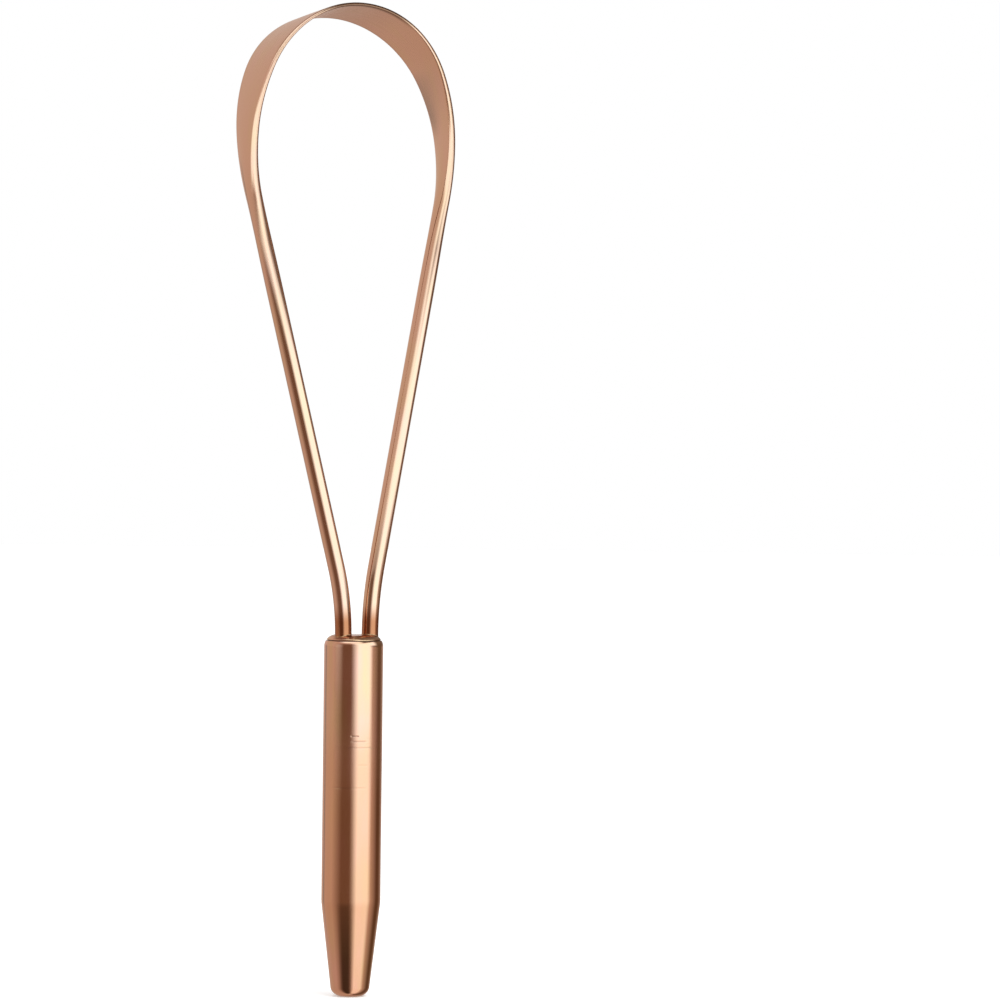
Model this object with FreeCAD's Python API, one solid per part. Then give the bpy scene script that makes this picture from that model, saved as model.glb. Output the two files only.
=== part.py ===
import FreeCAD, Part
import math
import os

# A tongue scraper: one copper wire, bent to a loop and rolled flat over its crown, set in
# a tapered copper handle. +Z runs up the handle, the origin is the centre of its flat tip,
# the loop's opening faces along Y, and lengths are in millimetres.

# Handle tube: straight, tapered at the tip, closed there and rounded at the mouth
handle_length = 55.1
handle_diameter = 9.0
handle_wall = 0.5
handle_taper_length = 14.4
taper_angle_degrees = 6.7
tip_edge_radius = 1.6
tip_wall = 1.0
mouth_edge_radius = 1.8
rim_land_width = 0.24

# Mouth plug: its head closes the mouth, its shank holds the two legs in blind bores
plug_floor = 1.3
plug_bore_wall = 0.15
plug_end_chamfer = 0.4
plug_clearance = 0.02

# Wire and the band that is rolled from it
wire_diameter = 2.55
band_width = 11.2
band_thickness = 0.57
full_band_half_length = 3.7
width_fade_length = 42.2
full_thickness_half_length = 3.2
thickness_fade_length = 50.6
face_flatness_share = 1.5

# The band's faces are turned about the wire a little: one way at the crown, the other at the sides
crown_twist_degrees = -1.8
side_twist_degrees = 2.3
twist_fade_length = 25.0

# Loop: arcs from the crown down, then a straight run and a bend into each leg
legs_forward_offset = 0.9
leg_depth = 15.0
crown_radius = 16.1
crown_arc_degrees = 66.1
shoulder_radius = 27.4
shoulder_arc_degrees = 20.9
cheek_radius = 36.7
side_angle_degrees = 12.8
leg_bend_radius = 46.8
lean_angle_degrees = 3.9

# Braze that fixes each leg in its bore
braze_thickness = 0.06
braze_clearance = 0.01
bore_end_gap = 0.2

# Overrun of every cutting solid past the face that it cuts
cut_overrun = 1.0

# Lofted spans in each stretch of the wire
crown_half_steps = 7
shoulder_steps = 4
cheek_steps = 3
straight_steps = 14
bend_steps = 5
leg_steps = 1
full_turn_degrees = 360

Vector = FreeCAD.Vector
AXIS_X = Vector(1, 0, 0)
AXIS_Z = Vector(0, 0, 1)

handle_radius = handle_diameter / 2
bore_radius = handle_radius - handle_wall
wire_radius = wire_diameter / 2
taper_angle = math.radians(taper_angle_degrees)
side_angle = math.radians(side_angle_degrees)
lean_angle = math.radians(lean_angle_degrees)
crown_twist = math.radians(crown_twist_degrees)
side_twist = math.radians(side_twist_degrees)

# The mouth's edge is a quarter circle about this point, shared by the tube and the plug
edge_centre_radius = handle_radius - mouth_edge_radius
edge_centre_height = handle_length - mouth_edge_radius

# The tube's rim ends on that quarter circle, where the plug's head begins
seam_radius = bore_radius + rim_land_width
seam_angle = math.acos((seam_radius - edge_centre_radius) / mouth_edge_radius)
seam_height = edge_centre_height + mouth_edge_radius * math.sin(seam_angle)

# Each leg stands in a bore that leaves a thin wall at the side of the plug's shank
shank_radius = bore_radius - plug_clearance
braze_radius = wire_radius + braze_clearance + braze_thickness
leg_bore_radius = braze_radius + braze_clearance
leg_reach = shank_radius - plug_bore_wall - leg_bore_radius
leg_half_spacing = math.sqrt(leg_reach ** 2 - legs_forward_offset ** 2)
leg_end_height = handle_length - leg_depth
leg_bore_bottom = leg_end_height - bore_end_gap


def half_plane_point(radius, height):
    """Point of a turned profile, in the plane through the handle's axis."""
    return Vector(radius, 0, height)


def edge_point(angle):
    """Point of the mouth's quarter circle, at an angle up from its outermost point."""
    radius = edge_centre_radius + mouth_edge_radius * math.cos(angle)
    return half_plane_point(radius, edge_centre_height + mouth_edge_radius * math.sin(angle))


def line(start, end):
    return Part.LineSegment(start, end).toShape()


def arc(start, middle, end):
    return Part.Arc(start, middle, end).toShape()


def turned(edges):
    """Solid turned about the handle's axis from a closed profile."""
    face = Part.Face(Part.Wire(edges))
    return face.revolve(Vector(0, 0, 0), AXIS_Z, full_turn_degrees)


def straight_chain(points):
    """Line edges through points, in order."""
    return [line(start, end) for start, end in zip(points, points[1:])]


def handle_tube():
    """Tube with a spun, closed tip, open at the mouth where the plug goes in."""
    tip_radius = handle_radius - handle_taper_length * math.tan(taper_angle)
    # The tip's edge is an arc tangent to the flat end and to the taper
    arc_span = math.pi / 2 - taper_angle
    flat_radius = tip_radius - tip_edge_radius * math.tan(arc_span / 2)
    round_centre = half_plane_point(flat_radius, tip_edge_radius)

    def on_tip_round(angle):
        return round_centre + half_plane_point(math.sin(angle), -math.cos(angle)) * tip_edge_radius

    # Inside, the cone runs parallel to the outer one, down to the tip's wall
    inner_shift = handle_wall / math.cos(taper_angle)
    inner_cone_top = handle_taper_length - (inner_shift - handle_wall) / math.tan(taper_angle)
    inner_end_radius = tip_radius + tip_wall * math.tan(taper_angle) - inner_shift

    flat_end = half_plane_point(flat_radius, 0)
    taper_top = half_plane_point(handle_radius, handle_taper_length)
    outer = [line(half_plane_point(0, 0), flat_end)]
    outer.append(arc(flat_end, on_tip_round(arc_span / 2), on_tip_round(arc_span)))
    outer.append(line(on_tip_round(arc_span), taper_top))
    outer.append(line(taper_top, edge_point(0)))
    outer.append(arc(edge_point(0), edge_point(seam_angle / 2), edge_point(seam_angle)))
    inner = straight_chain([
        edge_point(seam_angle),
        half_plane_point(bore_radius, seam_height),
        half_plane_point(bore_radius, inner_cone_top),
        half_plane_point(inner_end_radius, tip_wall),
        half_plane_point(0, tip_wall),
        half_plane_point(0, 0),
    ])
    return turned(outer + inner)


def leg_axis_cylinders(radius, bottom, top):
    """Two upright cylinders, one on each leg's axis, between two heights."""
    cylinders = []
    for side in (-1, 1):
        foot = Vector(side * leg_half_spacing, -legs_forward_offset, bottom)
        cylinders.append(Part.makeCylinder(radius, top - bottom, foot, AXIS_Z))
    return Part.makeCompound(cylinders)


def mouth_plug():
    """Turned plug: a rounded head seated on the tube's rim, and a shank with two blind bores."""
    shank_bottom = leg_bore_bottom - plug_floor
    crown = half_plane_point(edge_centre_radius, handle_length)
    top_middle = (seam_angle + math.pi / 2) / 2
    profile = straight_chain([
        crown,
        half_plane_point(0, handle_length),
        half_plane_point(0, shank_bottom),
        half_plane_point(shank_radius - plug_end_chamfer, shank_bottom),
        half_plane_point(shank_radius, shank_bottom + plug_end_chamfer),
        half_plane_point(shank_radius, seam_height),
        edge_point(seam_angle),
    ])
    profile.append(arc(edge_point(seam_angle), edge_point(top_middle), crown))
    bores = leg_axis_cylinders(leg_bore_radius, leg_bore_bottom, handle_length + cut_overrun)
    return turned(profile).cut(bores)


def leg_braze():
    """Filler metal in the ring gap between each leg and its bore, up to the plug's rounded top."""
    outer = leg_axis_cylinders(braze_radius, leg_end_height, seam_height)
    inner = leg_axis_cylinders(wire_radius + braze_clearance, leg_end_height - cut_overrun, handle_length)
    return outer.cut(inner)


def loop_path():
    """Stretches from the crown to a leg's end: length, turn per length and number of loft steps."""
    crown_arc = math.radians(crown_arc_degrees)
    shoulder_arc = math.radians(shoulder_arc_degrees)
    cheek_arc = math.pi / 2 + side_angle - crown_arc - shoulder_arc
    arcs = [
        (crown_radius * crown_arc, 1 / crown_radius, crown_half_steps),
        (shoulder_radius * shoulder_arc, 1 / shoulder_radius, shoulder_steps),
        (cheek_radius * cheek_arc, 1 / cheek_radius, cheek_steps),
    ]
    arcs_end = walk(arcs, sum(length for length, turn, steps in arcs))
    inward = arcs_end[0] - leg_half_spacing - leg_bend_radius * (1 - math.cos(side_angle))
    straight = (inward / math.sin(side_angle), 0, straight_steps)
    bend = (leg_bend_radius * side_angle, -1 / leg_bend_radius, bend_steps)
    return arcs + [straight, bend, (leg_depth, 0, leg_steps)]


def walk(stretches, distance):
    """Place in the loop's plane after a distance: x, height above the crown, heading below X."""
    x, height, heading = 0, 0, 0
    for length, turn, steps in stretches:
        part_length = min(length, distance)
        end_heading = heading + turn * part_length
        if turn:
            x += (math.sin(end_heading) - math.sin(heading)) / turn
            height += (math.cos(end_heading) - math.cos(heading)) / turn
        else:
            x += part_length * math.cos(heading)
            height -= part_length * math.sin(heading)
        heading = end_heading
        distance -= part_length
        if distance <= 0:
            break
    return x, height, heading


def smooth_fade(distance, start, length, first, last):
    """Value that goes from first to last along an S-shaped ramp."""
    share = min(max((distance - start) / length, 0), 1)
    return first + (last - first) * share * share * (3 - 2 * share)


def leaned_frame(height):
    """Place and directions of the loop's plane at a height above the mouth: it leans back
    over the height of the legs' bend and is flat above it."""
    bend_height = leg_bend_radius * math.sin(side_angle)
    lean_radius = bend_height / lean_angle
    lean = lean_angle * min(max(height / bend_height, 0), 1)
    up = Vector(0, math.sin(lean), math.cos(lean))
    across = Vector(0, math.cos(lean), -math.sin(lean))
    curved = Vector(0, lean_radius * (1 - math.cos(lean)), lean_radius * math.sin(lean))
    foot = Vector(0, -legs_forward_offset, handle_length + min(height, 0))
    place = foot + curved + up * max(height - bend_height, 0)
    return place, up, across


def oval(centre, outward, across, half_thickness, half_width):
    """Closed four-arc oval: a circle where both halves are equal, flat-faced where they aren't."""
    corner = math.atan((half_width / half_thickness) ** face_flatness_share)
    radius_step = (half_width - half_thickness) / (math.cos(corner) + math.sin(corner) - 1)
    end_radius = half_width - radius_step * math.cos(corner)
    corner_across = half_width - end_radius + end_radius * math.cos(corner)
    corner_outward = end_radius * math.sin(corner)

    def place(across_length, outward_length):
        return centre + across * across_length + outward * outward_length

    corners = [
        place(corner_across, -corner_outward),
        place(corner_across, corner_outward),
        place(-corner_across, corner_outward),
        place(-corner_across, -corner_outward),
    ]
    middles = [
        place(half_width, 0),
        place(0, half_thickness),
        place(-half_width, 0),
        place(0, -half_thickness),
    ]
    edges = []
    for index, middle in enumerate(middles):
        edges.append(arc(corners[index], middle, corners[(index + 1) % len(corners)]))
    return Part.Wire(edges)


def scraper_loop():
    """The whole wire, from one leg's end over the crown to the other's, as one solid."""
    stretches = loop_path()
    half_length = sum(length for length, turn, steps in stretches)
    crown_height = -leg_depth - walk(stretches, half_length)[1]

    def section(distance):
        """Oval at a distance from the crown, which is negative on the left half."""
        side = 1 if distance > 0 else -1
        from_crown = abs(distance)
        x, drop, heading = walk(stretches, from_crown)
        place, up, flat_across = leaned_frame(crown_height + drop)
        flat_outward = AXIS_X * (side * math.sin(heading)) + up * math.cos(heading)
        twist = smooth_fade(from_crown, 0, twist_fade_length, crown_twist, side_twist)
        outward = flat_outward * math.cos(twist) - flat_across * math.sin(twist)
        across = flat_across * math.cos(twist) + flat_outward * math.sin(twist)
        width = smooth_fade(from_crown, full_band_half_length, width_fade_length,
                            band_width, wire_diameter)
        thickness = smooth_fade(from_crown, full_thickness_half_length, thickness_fade_length,
                                band_thickness, wire_diameter)
        return oval(place + AXIS_X * (side * x), outward, across, thickness / 2, width / 2)

    def span(start, end, steps):
        sections = [section(start + (end - start) * step / steps) for step in range(steps + 1)]
        return Part.makeLoft(sections, True, False)

    crown_length, crown_turn, crown_steps = stretches[0]
    crown = span(-crown_length, crown_length, 2 * crown_steps)
    spans = []
    start = crown_length
    for length, turn, steps in stretches[1:]:
        spans.append(span(start, start + length, steps))
        spans.append(span(-start, -start - length, steps))
        start += length
    return crown.multiFuse(spans)


os.makedirs("parts", exist_ok=True)
pieces = {
    "handle_tube": handle_tube(),
    "mouth_plug": mouth_plug(),
    "leg_braze": leg_braze(),
    "scraper_loop": scraper_loop(),
}
for name, shape in pieces.items():
    shape.exportStep("parts/" + name + ".step")
    box = shape.BoundBox
    print(name, "solids", len(shape.Solids), "valid", shape.isValid(), "volume", round(shape.Volume, 1),
          "box", [round(value, 2) for value in (box.XMin, box.YMin, box.ZMin, box.XMax, box.YMax, box.ZMax)])
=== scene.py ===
import math

import bmesh
import bpy
from mathutils import Matrix, Vector


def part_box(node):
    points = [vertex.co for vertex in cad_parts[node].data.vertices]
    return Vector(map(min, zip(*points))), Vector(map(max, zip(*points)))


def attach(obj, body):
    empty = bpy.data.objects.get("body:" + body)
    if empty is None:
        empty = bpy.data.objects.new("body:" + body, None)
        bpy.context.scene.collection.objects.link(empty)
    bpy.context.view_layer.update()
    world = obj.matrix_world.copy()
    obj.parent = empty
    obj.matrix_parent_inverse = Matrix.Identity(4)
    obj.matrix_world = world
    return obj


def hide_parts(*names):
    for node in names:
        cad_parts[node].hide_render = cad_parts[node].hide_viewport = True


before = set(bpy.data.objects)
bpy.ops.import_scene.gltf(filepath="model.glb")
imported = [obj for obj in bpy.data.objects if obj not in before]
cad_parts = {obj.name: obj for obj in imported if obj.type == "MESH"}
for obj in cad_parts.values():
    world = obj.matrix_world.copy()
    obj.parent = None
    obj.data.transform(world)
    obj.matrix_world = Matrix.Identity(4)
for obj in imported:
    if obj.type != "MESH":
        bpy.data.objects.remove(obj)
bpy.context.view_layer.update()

# A tongue scraper of bare copper: one wire, bent to a tall loop and rolled flat over its
# crown, set in a round handle with a tapered tip. +Z runs up the handle from its tip.


# Handle tube
# A thin copper tube, spun closed at its tapered tip and turned and buffed on a lathe, so
# fine marks run round it. The other pieces are set in its open mouth.
mm = 0.001
tube_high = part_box("handle_tube")[1]
plug_low, plug_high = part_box("mouth_plug")
handle_radius = tube_high.x
handle_top = plug_high.z
seam_height = tube_high.z
handle_wall = 0.5 * mm
taper_length = 14.4 * mm
taper_angle = math.radians(6.7)
taper_blend_radius = 9.0 * mm
tip_edge_radius = 1.6 * mm
tip_wall = 1.0 * mm
mouth_edge_radius = 1.8 * mm
rim_lip_radius = 0.12 * mm
seam_gap = 0.03 * mm
segments_around = 256
tip_edge_steps = 16
taper_blend_steps = 8
mouth_edge_steps = 20
rim_lip_steps = 6

bore_radius = handle_radius - handle_wall
edge_centre_radius = handle_radius - mouth_edge_radius
edge_centre_height = handle_top - mouth_edge_radius


def arc_points(centre, radius, first, last, steps):
    """Points of an arc in a plane, between two angles counted from its first direction."""
    points = []
    for step in range(steps + 1):
        angle = first + (last - first) * step / steps
        points.append((centre[0] + radius * math.cos(angle), centre[1] + radius * math.sin(angle)))
    return points


def made(name, shape):
    """Object in the scene from a finished shape."""
    mesh = bpy.data.meshes.new(name)
    shape.to_mesh(mesh)
    shape.free()
    piece = bpy.data.objects.new(name, mesh)
    bpy.context.scene.collection.objects.link(piece)
    return piece


def turned(name, profile):
    """Piece turned about the handle's axis from a profile of (radius, height) points."""
    shape = bmesh.new()
    rings = []
    for radius, height in profile:
        if radius == 0:
            rings.append([shape.verts.new((0, 0, height))])
            continue
        ring = []
        for index in range(segments_around):
            angle = 2 * math.pi * index / segments_around
            spot = (radius * math.cos(angle), radius * math.sin(angle), height)
            ring.append(shape.verts.new(spot))
        rings.append(ring)
    for lower, upper in zip(rings, rings[1:]):
        for index in range(segments_around):
            following = (index + 1) % segments_around
            corners = [lower[index % len(lower)], lower[following % len(lower)],
                       upper[following % len(upper)], upper[index % len(upper)]]
            shape.faces.new(list(dict.fromkeys(corners)))
    bmesh.ops.recalc_face_normals(shape, faces=shape.faces)
    return made(name, shape)


def smooth(piece, sharp_degrees=40):
    """Shades a piece smooth, apart from edges that turn by more than an angle."""
    piece.data.shade_smooth()
    piece.data.set_sharp_from_angle(angle=math.radians(sharp_degrees))


def seam_lip(side):
    """Broken edge along the seam, below it (side -1) or above it (side 1): its middle, and the
    angle at which it leaves the mouth's big rounding."""
    height = seam_height + side * (seam_gap / 2 + rim_lip_radius)
    reach = mouth_edge_radius - rim_lip_radius
    angle = math.asin((height - edge_centre_height) / reach)
    middle = (edge_centre_radius + reach * math.cos(angle), height)
    return middle, angle


def handle_profile():
    """From the tip's middle up the outside to the rim, and down the inside."""
    tip_radius = handle_radius - taper_length * math.tan(taper_angle)
    arc_span = math.pi / 2 - taper_angle
    flat_radius = tip_radius - tip_edge_radius * math.tan(arc_span / 2)
    points = [(0, 0), (flat_radius / 2, 0)]
    points += arc_points((flat_radius, tip_edge_radius), tip_edge_radius, -math.pi / 2,
                         -taper_angle, tip_edge_steps)
    # The taper meets the straight tube in a soft, buffed corner
    blend_half = taper_blend_radius * math.tan(taper_angle / 2)
    blend_centre = (handle_radius - taper_blend_radius, taper_length + blend_half)
    points += arc_points(blend_centre, taper_blend_radius, -taper_angle, 0, taper_blend_steps)
    # The mouth's rounding ends in the rim's broken edge, just under the plug's head
    lip_centre, lip_angle = seam_lip(-1)
    points += arc_points((edge_centre_radius, edge_centre_height), mouth_edge_radius, 0,
                         lip_angle, mouth_edge_steps)
    points += arc_points(lip_centre, rim_lip_radius, lip_angle, math.pi / 2, rim_lip_steps)[1:]
    points.append((bore_radius, seam_height - seam_gap / 2))
    inner_shift = handle_wall / math.cos(taper_angle)
    inner_cone_top = taper_length - (inner_shift - handle_wall) / math.tan(taper_angle)
    inner_end_radius = tip_radius + tip_wall * math.tan(taper_angle) - inner_shift
    points += [(bore_radius, inner_cone_top), (inner_end_radius, tip_wall), (0, tip_wall)]
    return points


def add_node(material, kind, inputs=None, **settings):
    """Node in a material; an input is given a value or another node's output."""
    node = material.node_tree.nodes.new(kind)
    for setting, value in settings.items():
        setattr(node, setting, value)
    for place, value in (inputs or {}).items():
        if isinstance(value, bpy.types.NodeSocket):
            material.node_tree.links.new(value, node.inputs[place])
        else:
            node.inputs[place].default_value = value
    return node


def bare_metal(name):
    """Material with a metal's shader, and that shader."""
    material = bpy.data.materials.new(name)
    material.use_nodes = True
    metal = material.node_tree.nodes["Principled BSDF"]
    metal.inputs["Metallic"].default_value = 1
    return material, metal


def wire_in(material, output, node, place):
    """Joins a node's output to an input of another node."""
    material.node_tree.links.new(output, node.inputs[place])


def stretched_noise(material, place, scales, detail=3.0, roughness=0.5):
    """Noise output whose grain has its own scale along each of three directions."""
    spread = add_node(material, "ShaderNodeVectorMath", {0: place, 1: scales}, operation="MULTIPLY")
    settings = {"Vector": spread.outputs[0], "Scale": 1.0, "Detail": detail, "Roughness": roughness}
    return add_node(material, "ShaderNodeTexNoise", settings).outputs[0]


def between(material, value, low, high, first, last):
    """A value that goes smoothly from first to last as another goes from low to high."""
    settings = {"Value": value, "From Min": low, "From Max": high, "To Min": first, "To Max": last}
    return add_node(material, "ShaderNodeMapRange", settings,
                    interpolation_type="SMOOTHSTEP").outputs[0]


def combined(material, first, second, operation):
    """Two values added, multiplied or otherwise combined."""
    return add_node(material, "ShaderNodeMath", {0: first, 1: second},
                    operation=operation).outputs[0]


def distance_from(material, value, middle):
    """How far a value lies from a middle one, either way."""
    offset = combined(material, value, middle, "SUBTRACT")
    return add_node(material, "ShaderNodeMath", {0: offset}, operation="ABSOLUTE").outputs[0]


def distance_in_height(material, place, height):
    """How far above or below a height a place lies."""
    z = add_node(material, "ShaderNodeSeparateXYZ", {0: place}).outputs["Z"]
    return distance_from(material, z, height)


def tints(material, value, colours, low=0.3, high=0.7):
    """Colour ramp over a value, with its colours evenly spaced from low to high."""
    ramp = add_node(material, "ShaderNodeValToRGB", {"Fac": value})
    stops = ramp.color_ramp.elements
    while len(stops) < len(colours):
        stops.new((low + high) / 2)
    for index, colour in enumerate(colours):
        stops[index].position = low + (high - low) * index / (len(colours) - 1)
        stops[index].color = (*colour, 1)
    return ramp.outputs["Color"]


def darkened(material, colour, share):
    """Colour times a share."""
    return add_node(material, "ShaderNodeVectorMath", {0: colour, "Scale": share},
                    operation="SCALE").outputs[0]


def blended(material, share, first, second):
    """Colour that goes from the first to the second as a share goes from 0 to 1."""
    mix = add_node(material, "ShaderNodeMix", data_type="RGBA")
    # The node has places of the same names for plain values, so the colours' are numbered
    share_place, first_place, second_place, result_place = 0, 6, 7, 2
    wire_in(material, share, mix, share_place)
    wire_in(material, first, mix, first_place)
    mix.inputs[second_place].default_value = (*second, 1)
    return mix.outputs[result_place]


# Most of a grain's values lie between these two
grain_low = 0.35
grain_high = 0.7


def relief(material, metal, grain, strength, height):
    """Gives a metal the fine relief of a grain."""
    bump = add_node(material, "ShaderNodeBump",
                    {"Height": grain, "Strength": strength, "Distance": height})
    wire_in(material, bump.outputs[0], metal, "Normal")


# Painted shade along the seam between tube and plug, darkest right in it
seam_full_shade_reach = 0.02 * mm
seam_shade_reach = 0.12 * mm
seam_shade = 0.3


def seam_shade_share(material, place):
    """Painted shade in the seam: goes from dark in its crevice to unshaded metal beside it."""
    from_seam = distance_in_height(material, place, seam_height)
    return between(material, from_seam, seam_full_shade_reach, seam_shade_reach, seam_shade, 1)


scratch_half_width = 0.22 * mm
scratch_depth = 5.0
scratch_shade = 0.25
# Each scratch's height, the turn of its middle from +X and half its own turn in degrees, and
# its share of the full depth
scratches = [(39.85 * mm, -114, 9, 1.0), (39.05 * mm, -106, 18, 0.8), (38.1 * mm, -102, 34, 0.45),
             (35.45 * mm, -98, 14, 0.2), (32.0 * mm, -125, 40, 0.3)]


def scratch_mask(material, place, height, turn, half_turn):
    """Covers one short scratch round the handle, and fades toward its ends and sides."""
    middle = (math.cos(turn) * handle_radius, math.sin(turn) * handle_radius, 0)
    facing = add_node(material, "ShaderNodeVectorMath", {0: place, 1: middle},
                      operation="DOT_PRODUCT").outputs["Value"]
    at_end = handle_radius ** 2 * math.cos(half_turn)
    halfway = handle_radius ** 2 * math.cos(half_turn / 2)
    length = between(material, facing, at_end, halfway, 0, 1)
    from_line = distance_in_height(material, place, height)
    line = between(material, from_line, 0, scratch_half_width, 1, 0)
    return combined(material, length, line, "MULTIPLY")


copper_pink = (0.76, 0.41, 0.315)
copper_plain = (0.72, 0.41, 0.275)
copper_gold = (0.70, 0.43, 0.25)
copper_orange = (0.72, 0.36, 0.22)
handle_cloud_scales = (420, 420, 90)
orange_height = 25 * mm
orange_full_reach = 9 * mm
orange_reach = 19 * mm
orange_share = 0.5
ring_scales = (60, 60, 9000)
ring_depth = 0.35
ring_roughness = (0.10, 0.15)
ring_bump_strength = 0.7
ring_bump_height = 0.01 * mm
worn_height = 36.5 * mm
worn_reach = 9 * mm
worn_roughness = 0.09


def buffed_copper():
    """Handle's finish: buffed copper with lathe rings, cloudy tints and a worn, scratched waist."""
    material, metal = bare_metal("handle_copper")
    place = add_node(material, "ShaderNodeTexCoord").outputs["Object"]
    clouds = stretched_noise(material, place, handle_cloud_scales)
    colour = tints(material, clouds, [copper_pink, copper_plain, copper_gold])
    from_orange = distance_in_height(material, place, orange_height)
    waist = between(material, from_orange, orange_full_reach, orange_reach, orange_share, 0)
    colour = blended(material, waist, colour, copper_orange)
    rings = stretched_noise(material, place, ring_scales, detail=4.0, roughness=0.6)
    from_worn = distance_in_height(material, place, worn_height)
    worn = between(material, from_worn, 0, worn_reach, worn_roughness, 0)
    ring_finish = between(material, rings, grain_low, grain_high, *ring_roughness)
    wire_in(material, combined(material, ring_finish, worn, "ADD"), metal, "Roughness")
    cut = combined(material, rings, ring_depth, "MULTIPLY")
    # Painted shade along the seam, with the scratches' dark marks taken off it
    seam_shade_and_scratches = seam_shade_share(material, place)
    for height, turn, half_turn, share in scratches:
        mask = scratch_mask(material, place, height, math.radians(turn), math.radians(half_turn))
        line = combined(material, mask, share, "MULTIPLY")
        groove = combined(material, line, scratch_depth, "MULTIPLY")
        cut = combined(material, cut, groove, "SUBTRACT")
        shade = combined(material, line, scratch_shade, "MULTIPLY")
        seam_shade_and_scratches = combined(material, seam_shade_and_scratches, shade, "SUBTRACT")
    wire_in(material, darkened(material, colour, seam_shade_and_scratches), metal, "Base Color")
    relief(material, metal, cut, ring_bump_strength, ring_bump_height)
    return material


handle_tube = turned("handle_tube_turned", handle_profile())
smooth(handle_tube)
handle_tube.data.materials.append(buffed_copper())
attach(handle_tube, "root")
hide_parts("handle_tube")


# Mouth plug
# A turned copper plug, pressed into the tube's mouth until its rounded head meets the rim.
# Its shank has two blind bores, drilled side by side, for the ends of the wire.
wire_diameter = 2.55 * mm
legs_forward_offset = 0.9 * mm
leg_depth = 15.0 * mm
plug_clearance = 0.02 * mm
plug_bore_wall = 0.15 * mm
plug_end_chamfer = 0.4 * mm
braze_thickness = 0.06 * mm
braze_clearance = 0.01 * mm
bore_end_gap = 0.2 * mm
cut_overrun = 1.0 * mm
bore_segments = 96
head_ring_shares = (0.2, 0.4, 0.6, 0.8)
head_edge_steps = 16

wire_radius = wire_diameter / 2
shank_radius = bore_radius - plug_clearance
braze_radius = wire_radius + braze_clearance + braze_thickness
leg_bore_radius = braze_radius + braze_clearance
leg_reach = shank_radius - plug_bore_wall - leg_bore_radius
leg_half_spacing = math.sqrt(leg_reach ** 2 - legs_forward_offset ** 2)
leg_end_height = handle_top - leg_depth
leg_feet = [Vector((side * leg_half_spacing, -legs_forward_offset, 0)) for side in (-1, 1)]


def plug_profile():
    """From the middle of the head outward, down the shank and in to its middle."""
    points = [(0, handle_top)]
    points += [(edge_centre_radius * share, handle_top) for share in head_ring_shares]
    lip_centre, lip_angle = seam_lip(1)
    points += arc_points((edge_centre_radius, edge_centre_height), mouth_edge_radius, math.pi / 2,
                         lip_angle, head_edge_steps)
    points += arc_points(lip_centre, rim_lip_radius, lip_angle, -math.pi / 2, rim_lip_steps)[1:]
    points += [
        (shank_radius, seam_height + seam_gap / 2),
        (shank_radius, plug_low.z + plug_end_chamfer),
        (shank_radius - plug_end_chamfer, plug_low.z),
        (0, plug_low.z),
    ]
    return points


def bore_cutter(foot):
    """Cylinder that cuts one leg's bore."""
    shape = bmesh.new()
    bottom = leg_end_height - bore_end_gap
    top = handle_top + cut_overrun
    middle = Matrix.Translation(foot + Vector((0, 0, (bottom + top) / 2)))
    bmesh.ops.create_cone(shape, cap_ends=True, segments=bore_segments, radius1=leg_bore_radius,
                          radius2=leg_bore_radius, depth=top - bottom, matrix=middle)
    return made("bore_cutter", shape)


def bored(piece):
    """Cuts the two leg bores into a piece, and leaves no modifier or cutter behind."""
    for foot in leg_feet:
        cutter = bore_cutter(foot)
        cut = piece.modifiers.new("bore", "BOOLEAN")
        cut.operation = "DIFFERENCE"
        cut.object = cutter
        cut.solver = "EXACT"
        bpy.context.view_layer.update()
        cut_piece = piece.evaluated_get(bpy.context.evaluated_depsgraph_get())
        result = bpy.data.meshes.new_from_object(cut_piece)
        piece.modifiers.clear()
        piece.data = result
        bpy.data.objects.remove(cutter)


plug_cloud_scales = (400, 400, 400)
heat_brown = (0.40, 0.145, 0.065)
full_stain_reach = 0.05 * mm
stain_reach = 0.5 * mm
stain_share = 0.9
facing_ring_scale = 20000.0
plug_roughness = (0.14, 0.22)
fine_bump_strength = 0.2
fine_bump_height = 0.008 * mm


def polished_copper():
    """Plug's finish: polished copper with fine rings from its facing cut, its flat top stained
    brown by the brazing heat."""
    material, metal = bare_metal("plug_copper")
    place = add_node(material, "ShaderNodeTexCoord").outputs["Object"]
    clouds = stretched_noise(material, place, plug_cloud_scales)
    colour = tints(material, clouds, [copper_pink, copper_plain, copper_gold])
    from_top = distance_in_height(material, place, handle_top)
    stained = between(material, from_top, full_stain_reach, stain_reach, stain_share, 0)
    colour = blended(material, stained, colour, heat_brown)
    # The base colour carries painted shade along the seam
    wire_in(material, darkened(material, colour, seam_shade_share(material, place)), metal, "Base Color")
    radius = add_node(material, "ShaderNodeVectorMath", {0: place}, operation="LENGTH").outputs["Value"]
    rings = add_node(material, "ShaderNodeTexNoise",
                     {"W": radius, "Scale": facing_ring_scale, "Detail": 2.0},
                     noise_dimensions="1D").outputs[0]
    finish = between(material, rings, grain_low, grain_high, *plug_roughness)
    wire_in(material, finish, metal, "Roughness")
    relief(material, metal, rings, fine_bump_strength, fine_bump_height)
    return material


mouth_plug = turned("mouth_plug_turned", plug_profile())
bored(mouth_plug)
smooth(mouth_plug, sharp_degrees=30)
mouth_plug.data.materials.clear()
mouth_plug.data.materials.append(polished_copper())
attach(mouth_plug, "root")
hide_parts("mouth_plug")


# Braze
# Golden filler metal, run in hot between each leg and its bore. It stays in the gap and
# draws up to a small dull fillet where the wire leaves the plug.
fillet_reach = 0.14 * mm
fillet_rise = 0.16 * mm
fillet_steps = 8
fillet_sink = 0.02 * mm
sleeve_sink = 3 * fillet_sink


def plug_top_at(place):
    """Height of the plug's rounded head over a place in plan."""
    radius = math.hypot(place.x, place.y)
    over_edge = max(radius - edge_centre_radius, 0)
    return edge_centre_height + math.sqrt(max(mouth_edge_radius ** 2 - over_edge ** 2, 0))


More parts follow.
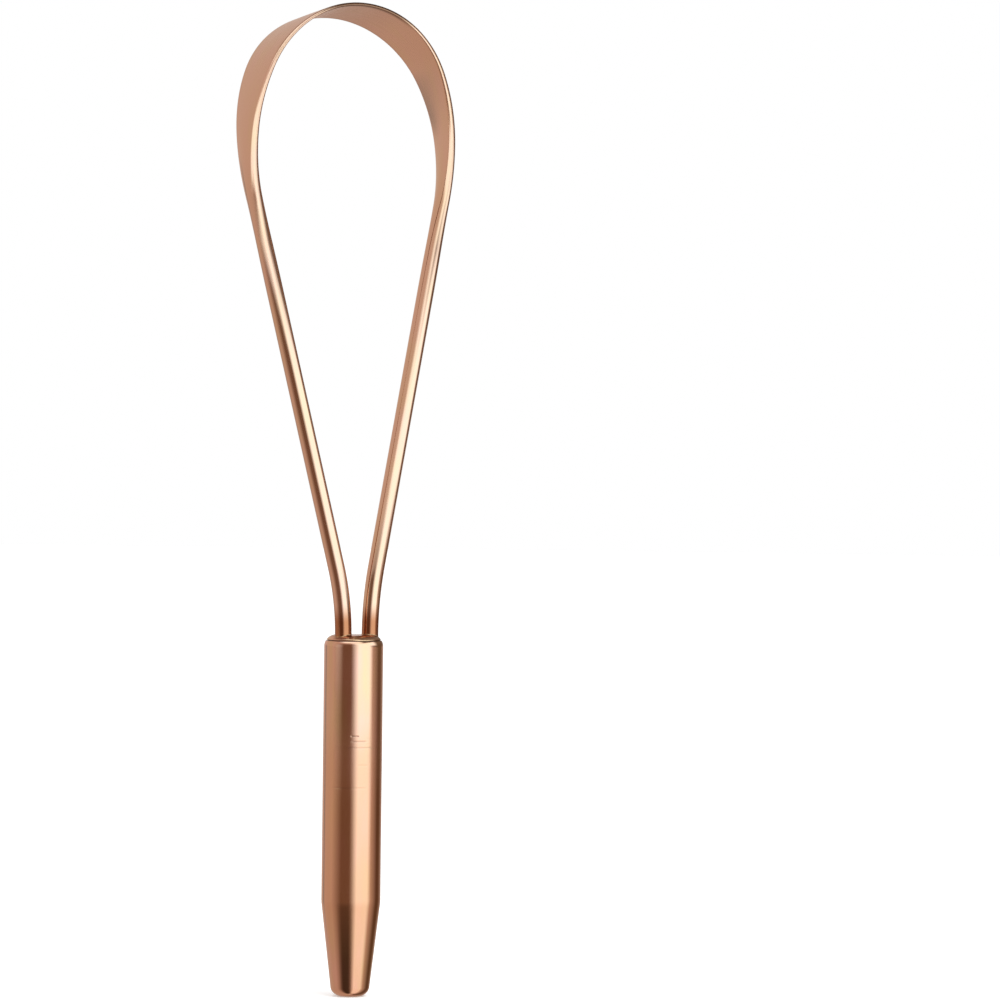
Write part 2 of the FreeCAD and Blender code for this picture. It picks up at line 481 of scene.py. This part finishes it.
def braze_collar(name, foot):
    """Sleeve in a leg's bore, with a hollow fillet on the plug's head."""
    shape = bmesh.new()
    inner = wire_radius - braze_clearance
    columns = []
    for index in range(bore_segments):
        angle = 2 * math.pi * index / bore_segments
        outward = Vector((math.cos(angle), math.sin(angle), 0))
        wall = foot + outward * braze_radius
        column = [wall + Vector((0, 0, leg_end_height))]
        column.append(wall + Vector((0, 0, plug_top_at(wall) - sleeve_sink)))
        for step in range(fillet_steps + 1):
            share = step / fillet_steps
            reach = wire_radius + fillet_reach * (1 - math.sin(share * math.pi / 2))
            rise = fillet_rise * (1 - math.cos(share * math.pi / 2))
            spot = foot + outward * reach
            column.append(spot + Vector((0, 0, plug_top_at(spot) + rise - fillet_sink)))
        edge = foot + outward * inner
        column.append(edge + Vector((0, 0, plug_top_at(edge) + fillet_rise)))
        column.append(edge + Vector((0, 0, leg_end_height)))
        columns.append([shape.verts.new(point) for point in column])
    for index, column in enumerate(columns):
        beside = columns[(index + 1) % bore_segments]
        for level in range(len(column)):
            above = (level + 1) % len(column)
            shape.faces.new([column[level], beside[level], beside[above], column[above]])
    bmesh.ops.recalc_face_normals(shape, faces=shape.faces)
    return made(name, shape)


braze_burnt = (0.25, 0.11, 0.05)
braze_plain = (0.44, 0.23, 0.12)
braze_gold = (0.58, 0.36, 0.20)
braze_spot_scales = (2500, 2500, 2500)
braze_spot_low = 0.3
braze_spot_high = 0.7
braze_roughness = (0.42, 0.26)
braze_bump_strength = 0.4
braze_bump_height = 0.02 * mm


def golden_braze():
    """Braze's finish: dull coppery gold, darker where flux burnt."""
    material, metal = bare_metal("braze")
    place = add_node(material, "ShaderNodeTexCoord").outputs["Object"]
    spots = stretched_noise(material, place, braze_spot_scales, detail=4.0)
    colour = tints(material, spots, [braze_burnt, braze_plain, braze_gold])
    wire_in(material, colour, metal, "Base Color")
    finish = between(material, spots, braze_spot_low, braze_spot_high, *braze_roughness)
    wire_in(material, finish, metal, "Roughness")
    relief(material, metal, spots, braze_bump_strength, braze_bump_height)
    return material


braze_finish = golden_braze()
for side_name, foot in zip(("left", "right"), leg_feet):
    collar = braze_collar("braze_collar_" + side_name, foot)
    smooth(collar)
    collar.data.materials.append(braze_finish)
    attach(collar, "root")
    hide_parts("leg_braze")


# Scraper loop
# One length of round copper wire. Its middle is rolled flat to the scraping band and it
# thins back to round wire down both sides, which are bent together and brazed into the plug.
band_width = 11.2 * mm
band_thickness = 0.57 * mm
full_band_half_length = 3.7 * mm
width_fade_length = 42.2 * mm
full_thickness_half_length = 3.2 * mm
thickness_fade_length = 50.6 * mm
face_flatness = 1.5
crown_twist = math.radians(-1.8)
side_twist = math.radians(2.3)
twist_fade_length = 25.0 * mm
crown_radius = 16.1 * mm
crown_arc = math.radians(66.1)
shoulder_radius = 27.4 * mm
shoulder_arc = math.radians(20.9)
cheek_radius = 36.7 * mm
side_angle = math.radians(12.8)
leg_bend_radius = 46.8 * mm
lean_angle = math.radians(3.9)
section_step = 0.5 * mm
face_steps = 20
edge_steps = 16


def walk(stretches, distance):
    """Place in the loop's plane after a distance: x, height above the crown, heading below X."""
    x, height, heading = 0, 0, 0
    for length, turn in stretches:
        part_length = min(length, distance)
        end_heading = heading + turn * part_length
        if turn:
            x += (math.sin(end_heading) - math.sin(heading)) / turn
            height += (math.cos(end_heading) - math.cos(heading)) / turn
        else:
            x += part_length * math.cos(heading)
            height -= part_length * math.sin(heading)
        heading = end_heading
        distance -= part_length
        if distance <= 0:
            break
    return x, height, heading


def loop_path():
    """Stretches from the crown to a leg's end: length and turn per length."""
    cheek_arc = math.pi / 2 + side_angle - crown_arc - shoulder_arc
    arcs = [
        (crown_radius * crown_arc, 1 / crown_radius),
        (shoulder_radius * shoulder_arc, 1 / shoulder_radius),
        (cheek_radius * cheek_arc, 1 / cheek_radius),
    ]
    widest = walk(arcs, sum(length for length, turn in arcs))[0]
    inward = widest - leg_half_spacing - leg_bend_radius * (1 - math.cos(side_angle))
    straight = (inward / math.sin(side_angle), 0)
    bend = (leg_bend_radius * side_angle, -1 / leg_bend_radius)
    return arcs + [straight, bend, (leg_depth, 0)]


def faded(distance, start, length, first, last):
    """Value that goes from first to last along an S-shaped ramp."""
    share = min(max((distance - start) / length, 0), 1)
    return first + (last - first) * share * share * (3 - 2 * share)


def leaned_frame(height):
    """Place and directions of the loop's plane at a height above the mouth."""
    bend_height = leg_bend_radius * math.sin(side_angle)
    lean_radius = bend_height / lean_angle
    lean = lean_angle * min(max(height / bend_height, 0), 1)
    up = Vector((0, math.sin(lean), math.cos(lean)))
    across = Vector((0, math.cos(lean), -math.sin(lean)))
    curved = Vector((0, lean_radius * (1 - math.cos(lean)), lean_radius * math.sin(lean)))
    foot = Vector((0, -legs_forward_offset, handle_top + min(height, 0)))
    return foot + curved + up * max(height - bend_height, 0), up, across


def oval_points(half_thickness, half_width):
    """Points (across, outward) round a section: a circle, or flat faces with rounded edges."""
    corner = math.atan((half_width / half_thickness) ** face_flatness)
    radius_step = (half_width - half_thickness) / (math.cos(corner) + math.sin(corner) - 1)
    end_radius = half_width - radius_step * math.cos(corner)
    face_radius = end_radius + radius_step
    arcs = []
    for side in (1, -1):
        turn = 0 if side == 1 else math.pi
        edge_centre = (side * (half_width - end_radius), 0)
        arcs.append((edge_centre, end_radius, turn - corner, turn + corner, edge_steps))
        face_centre = (0, side * (half_thickness - face_radius))
        arcs.append((face_centre, face_radius, turn + corner, turn + math.pi - corner, face_steps))
    points = []
    for arc in arcs:
        # An arc's last point is the next one's first
        points += arc_points(*arc)[:-1]
    return points


def rolled_wire(name):
    """The whole wire. Each point keeps how far it lies along and across the wire and from the
    band's two edges, in metres, and what share of the full band's width the wire has there."""
    stretches = loop_path()
    half_length = sum(length for length, turn in stretches)
    crown_height = -leg_depth - walk(stretches, half_length)[1]
    steps = round(2 * half_length / section_step)
    shape = bmesh.new()
    place_layer = shape.verts.layers.float_vector.new("wire_place")
    band_layer = shape.verts.layers.float.new("band_share")
    front_layer = shape.verts.layers.float.new("from_front_edge")
    back_layer = shape.verts.layers.float.new("from_back_edge")
    rings = []
    for step in range(steps + 1):
        distance = half_length * (2 * step / steps - 1)
        side = 1 if distance > 0 else -1
        from_crown = abs(distance)
        x, drop, heading = walk(stretches, from_crown)
        place, up, flat_across = leaned_frame(crown_height + drop)
        flat_outward = Vector((side * math.sin(heading), 0, 0)) + up * math.cos(heading)
        twist = faded(from_crown, 0, twist_fade_length, crown_twist, side_twist)
        outward = flat_outward * math.cos(twist) - flat_across * math.sin(twist)
        across = flat_across * math.cos(twist) + flat_outward * math.sin(twist)
        centre = place + Vector((side * x, 0, 0))
        width = faded(from_crown, full_band_half_length, width_fade_length,
                      band_width, wire_diameter)
        thickness = faded(from_crown, full_thickness_half_length, thickness_fade_length,
                          band_thickness, wire_diameter)
        band_share = (width - wire_diameter) / (band_width - wire_diameter)
        ring = []
        for across_length, outward_length in oval_points(thickness / 2, width / 2):
            point = shape.verts.new(centre + across * across_length + outward * outward_length)
            point[place_layer] = Vector((distance, across_length, outward_length))
            point[band_layer] = band_share
            point[front_layer] = width / 2 + across_length
            point[back_layer] = width / 2 - across_length
            ring.append(point)
        rings.append(ring)
    for ring, following in zip(rings, rings[1:]):
        for index in range(len(ring)):
            beside = (index + 1) % len(ring)
            shape.faces.new([ring[index], ring[beside], following[beside], following[index]])
    shape.faces.new(rings[0])
    shape.faces.new(rings[-1])
    bmesh.ops.recalc_face_normals(shape, faces=shape.faces)
    return made(name, shape)


rosy_copper = (0.735, 0.435, 0.325)
wire_copper = (0.73, 0.44, 0.315)
straw_copper = (0.72, 0.45, 0.30)
wire_cloud_scales = (160, 420, 420)
heat_reach = 5.0 * mm
full_heat_reach = 1.8 * mm
heat_share = 0.95
# Painted shade: a dark brown line along the band's edges
edge_shade_brown = (0.21, 0.105, 0.065)
edge_shade_middle = 1.4 * mm
edge_shade_half_length = 9.5 * mm
edge_shade_width = 1.1 * mm
full_edge_shade_width = 0.1 * mm
front_edge_shade_share = 0.92
back_edge_shade_share = 0.3
drawn_line_scales = (120, 9000, 9000)
wire_roughness = (0.09, 0.14)
band_roughness = (0.24, 0.34)


def rolled_copper():
    """Loop's finish: bright drawn wire, finely satin where it is rolled to the band, browned by
    the brazing heat just above the plug, with painted shade as a dark brown line along the band's
    edges."""
    material, metal = bare_metal("loop_copper")
    place = add_node(material, "ShaderNodeAttribute", attribute_name="wire_place").outputs["Vector"]
    band = add_node(material, "ShaderNodeAttribute", attribute_name="band_share").outputs["Fac"]
    clouds = stretched_noise(material, place, wire_cloud_scales)
    colour = tints(material, clouds, [rosy_copper, wire_copper, straw_copper])
    along = add_node(material, "ShaderNodeSeparateXYZ", {0: place}).outputs["X"]
    from_crown = distance_from(material, along, 0)
    foot = sum(length for length, turn in loop_path()) - leg_depth
    heated = between(material, from_crown, foot - heat_reach, foot - full_heat_reach, 0, heat_share)
    colour = blended(material, heated, colour, heat_brown)
    # Painted shade: a dark brown line along the front edge over the crown, in place of the dark
    # reflection of its rounded edge
    front = add_node(material, "ShaderNodeAttribute", attribute_name="from_front_edge")
    near_front = between(material, front.outputs["Fac"], full_edge_shade_width, edge_shade_width,
                         front_edge_shade_share, 0)
    from_middle = distance_from(material, along, edge_shade_middle)
    near_crown = between(material, from_middle, edge_shade_half_length / 2, edge_shade_half_length, 1, 0)
    front_edge_shade = combined(material, near_front, near_crown, "MULTIPLY")
    # A weaker line of painted shade runs along the whole back edge of the band
    back = add_node(material, "ShaderNodeAttribute", attribute_name="from_back_edge")
    near_back = between(material, back.outputs["Fac"], 0, edge_shade_width, back_edge_shade_share, 0)
    back_edge_shade = combined(material, near_back, band, "MULTIPLY")
    edge_shade = combined(material, front_edge_shade, back_edge_shade, "MAXIMUM")
    wire_in(material, blended(material, edge_shade, colour, edge_shade_brown), metal, "Base Color")
    lines = stretched_noise(material, place, drawn_line_scales, detail=4.0, roughness=0.6)
    wire_finish = between(material, lines, grain_low, grain_high, *wire_roughness)
    band_finish = between(material, lines, grain_low, grain_high, *band_roughness)
    finish = add_node(material, "ShaderNodeMix", {"Factor": band, "A": wire_finish, "B": band_finish})
    wire_in(material, finish.outputs[0], metal, "Roughness")
    relief(material, metal, lines, fine_bump_strength, fine_bump_height)
    return material


scraper_loop = rolled_wire("scraper_loop_wire")
smooth(scraper_loop)
scraper_loop.data.materials.append(rolled_copper())
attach(scraper_loop, "root")
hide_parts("scraper_loop")


# Studio
# A pale floor under the tip in a white room. Cards stand round the scraper, out of the
# picture, for the polished copper to reflect: walls and flags at about a metre, two boxes at
# half a metre, and soft boxes and brown flags close by.
camera_turn = math.radians(28.093)
camera_distance = 686.58 * mm
camera_height = 83.73 * mm
aim_right = math.radians(1.838)
aim_down = math.radians(0.658)
aim_roll = math.radians(0.675)
lens_length = 162.25
white = (1, 1, 1, 1)
floor_radius = 3.0
floor_segments = 64
floor_paint = (0.9, 0.9, 0.9, 1)
floor_roughness = 0.9
floor_glow = 0.25
card_steps = 60

toward_camera = Vector((-math.sin(camera_turn), -math.cos(camera_turn), 0))
camera_right = Vector((math.cos(camera_turn), -math.sin(camera_turn), 0))


def level_toward(turn):
    """Level direction at a turn to the right of the camera, in degrees."""
    across = math.radians(turn)
    return toward_camera * math.cos(across) + camera_right * math.sin(across)


def look_camera():
    """Camera at the photograph's place, with its lens and its small tilt."""
    data = bpy.data.cameras.new("camera")
    data.lens = lens_length
    camera = bpy.data.objects.new("camera", data)
    bpy.context.scene.collection.objects.link(camera)
    turned_view = Matrix.Rotation(-(camera_turn + aim_right), 4, "Z")
    tilted = Matrix.Rotation(math.pi / 2 - aim_down, 4, "X")
    rolled = Matrix.Rotation(aim_roll, 4, "Z")
    place = toward_camera * camera_distance + Vector((0, 0, camera_height))
    camera.matrix_world = Matrix.Translation(place) @ turned_view @ tilted @ rolled
    bpy.context.scene.camera = camera


def pale_floor():
    """Round floor under the tip, white to the eye, with soft shadows. The copper reflects the
    cards in its place."""
    shape = bmesh.new()
    bmesh.ops.create_circle(shape, cap_ends=True, segments=floor_segments, radius=floor_radius)
    floor = made("floor", shape)
    material = bpy.data.materials.new("floor_white")
    material.use_nodes = True
    paint = material.node_tree.nodes["Principled BSDF"]
    paint.inputs["Base Color"].default_value = floor_paint
    paint.inputs["Roughness"].default_value = floor_roughness
    paint.inputs["Emission Color"].default_value = white
    ray = add_node(material, "ShaderNodeLightPath").outputs
    seen = combined(material, ray["Is Camera Ray"], ray["Is Glossy Ray"], "MAXIMUM")
    seen = combined(material, seen, ray["Is Transmission Ray"], "MAXIMUM")
    glow = combined(material, seen, floor_glow, "MULTIPLY")
    wire_in(material, glow, paint, "Emission Strength")
    floor.data.materials.append(material)
    floor.visible_glossy = False


def card(name, radius, turns, heights, colour, soft_turns=(1, 1), soft_heights=(0.001, 0.001)):
    """Upright curved card round the scraper, from one turn right of the camera to another, in
    degrees, and from one height to another, in metres as its radius is. It fades out over the
    soft turns at its sides and the soft heights at its bottom and top."""
    shape = bmesh.new()
    cover_layer = shape.verts.layers.float.new("cover")
    grid = []
    for height, end_cover in ((heights[0], 0), (heights[0] + soft_heights[0], 1),
                              (heights[1] - soft_heights[1], 1), (heights[1], 0)):
        points = []
        for column in range(card_steps + 1):
            turn = turns[0] + (turns[1] - turns[0]) * column / card_steps
            left_cover = (turn - turns[0]) / soft_turns[0]
            right_cover = (turns[1] - turn) / soft_turns[1]
            side_cover = min(1, left_cover, right_cover)
            point = shape.verts.new(level_toward(turn) * radius + Vector((0, 0, height)))
            point[cover_layer] = side_cover * end_cover
            points.append(point)
        grid.append(points)
    for lower, upper in zip(grid, grid[1:]):
        for column in range(card_steps):
            shape.faces.new([lower[column], lower[column + 1], upper[column + 1], upper[column]])
    upright = made(name, shape)
    material = bpy.data.materials.new(name)
    material.use_nodes = True
    material.node_tree.nodes.clear()
    cover = add_node(material, "ShaderNodeAttribute", attribute_name="cover").outputs["Fac"]
    glow = add_node(material, "ShaderNodeEmission", {"Color": (*colour, 1)})
    clear = add_node(material, "ShaderNodeBsdfTransparent")
    mixed = add_node(material, "ShaderNodeMixShader",
                     {0: cover, 1: clear.outputs[0], 2: glow.outputs[0]})
    add_node(material, "ShaderNodeOutputMaterial", {"Surface": mixed.outputs[0]})
    upright.data.materials.append(material)
    upright.visible_camera = False
    upright.visible_diffuse = False
    upright.visible_shadow = False
    upright.visible_transmission = False


def white_room():
    """Even white light from all round."""
    world = bpy.data.worlds.new("white_room")
    world.use_nodes = True
    bpy.context.scene.world = world
    background = world.node_tree.nodes["Background"]
    background.inputs["Color"].default_value = white
    background.inputs["Strength"].default_value = 1.0


lamp_distance = 1.0
lamp_size = 0.5
lamp_energy = 3.0
lamp_turn = 45
lamp_rise = math.radians(50)


def key_lamp():
    """Soft lamp, up on the side of the bright boxes, for the floor's shadow."""
    data = bpy.data.lights.new("key_lamp", "AREA")
    data.shape = "DISK"
    data.size = lamp_size
    data.energy = lamp_energy
    lamp = bpy.data.objects.new("key_lamp", data)
    bpy.context.scene.collection.objects.link(lamp)
    level = level_toward(lamp_turn)
    direction = level * math.cos(lamp_rise) + Vector((0, 0, math.sin(lamp_rise)))
    lamp.location = direction * lamp_distance
    lamp.rotation_mode = "QUATERNION"
    lamp.rotation_quaternion = direction.to_track_quat("Z", "Y")
    lamp.visible_glossy = False


bpy.context.scene.view_settings.view_transform = "Standard"
look_camera()
pale_floor()
white_room()
key_lamp()

# Walls, ceiling, sill and flags at about a metre
card("dim_wall", radius=1.10, turns=(-180, 180), heights=(-20, 20), colour=(0.70, 0.61, 0.54))
card("low_wall", radius=1.09, turns=(-180, 180), heights=(-20, 0.16), colour=(0.60, 0.48, 0.40),
     soft_heights=(1, 0.6))
card("back_wall", radius=1.08, turns=(145, 205), heights=(-20, 0.12), colour=(0.50, 0.40, 0.34),
     soft_turns=(20, 25), soft_heights=(1, 0.15))
card("back_flag", radius=1.07, turns=(-144, -126), heights=(-0.24, 0.16),
     colour=(0.31, 0.31, 0.32), soft_turns=(8, 8), soft_heights=(0.1, 0.1))
card("dark_ceiling", radius=1.05, turns=(-180, 0), heights=(0.78, 20), colour=(0.26, 0.17, 0.14),
     soft_turns=(1, 5), soft_heights=(0.5, 1))
card("top_flag", radius=1.04, turns=(0, 180), heights=(0.02, 20), colour=(0.24, 0.20, 0.17),
     soft_heights=(0.08, 1))
card("warm_sill", radius=1.03, turns=(2, 80), heights=(-6, 0.09), colour=(1.22, 1.20, 1.03),
     soft_turns=(18, 16), soft_heights=(4.5, 0.01))
card("right_flag", radius=1.02, turns=(80, 166), heights=(-6, 0.66), colour=(0.14, 0.085, 0.05),
     soft_turns=(34, 34), soft_heights=(1, 0.7))

# Boxes at half a metre
high_box_white = (1.50, 1.80, 1.85)
card("top_box", radius=0.51, turns=(-78, 48), heights=(0.42, 2.0), colour=high_box_white,
     soft_turns=(34, 24), soft_heights=(0.1, 0.3))
card("far_box", radius=0.50, turns=(-78, 48), heights=(0.02, 0.28), colour=high_box_white,
     soft_turns=(34, 24), soft_heights=(0.02, 0.06))

# Boxes and flags close by, whose reflections shift along the handle and the wires
box_white = (1.64, 2.04, 2.16)
card("soft_box", radius=0.100, turns=(-12, 80), heights=(-0.045, 0.138), colour=box_white,
     soft_turns=(22, 16), soft_heights=(0.09, 0.022))
card("side_box", radius=0.099, turns=(50, 108), heights=(0.062, 0.132), colour=box_white,
     soft_turns=(10, 20), soft_heights=(0.022, 0.014))
card("high_box", radius=0.098, turns=(-8, 48), heights=(0.105, 0.40), colour=high_box_white,
     soft_turns=(32, 24), soft_heights=(0.02, 0.08))
card("left_flag", radius=0.090, turns=(-82, 21), heights=(-0.6, 0.112), colour=(0.20, 0.12, 0.08),
     soft_turns=(42, 29), soft_heights=(0.1, 0.02))
card("low_flag", radius=0.085, turns=(-62, 8), heights=(-0.6, 0.003), colour=(0.07, 0.045, 0.03),
     soft_turns=(22, 20), soft_heights=(0.1, 0.03))
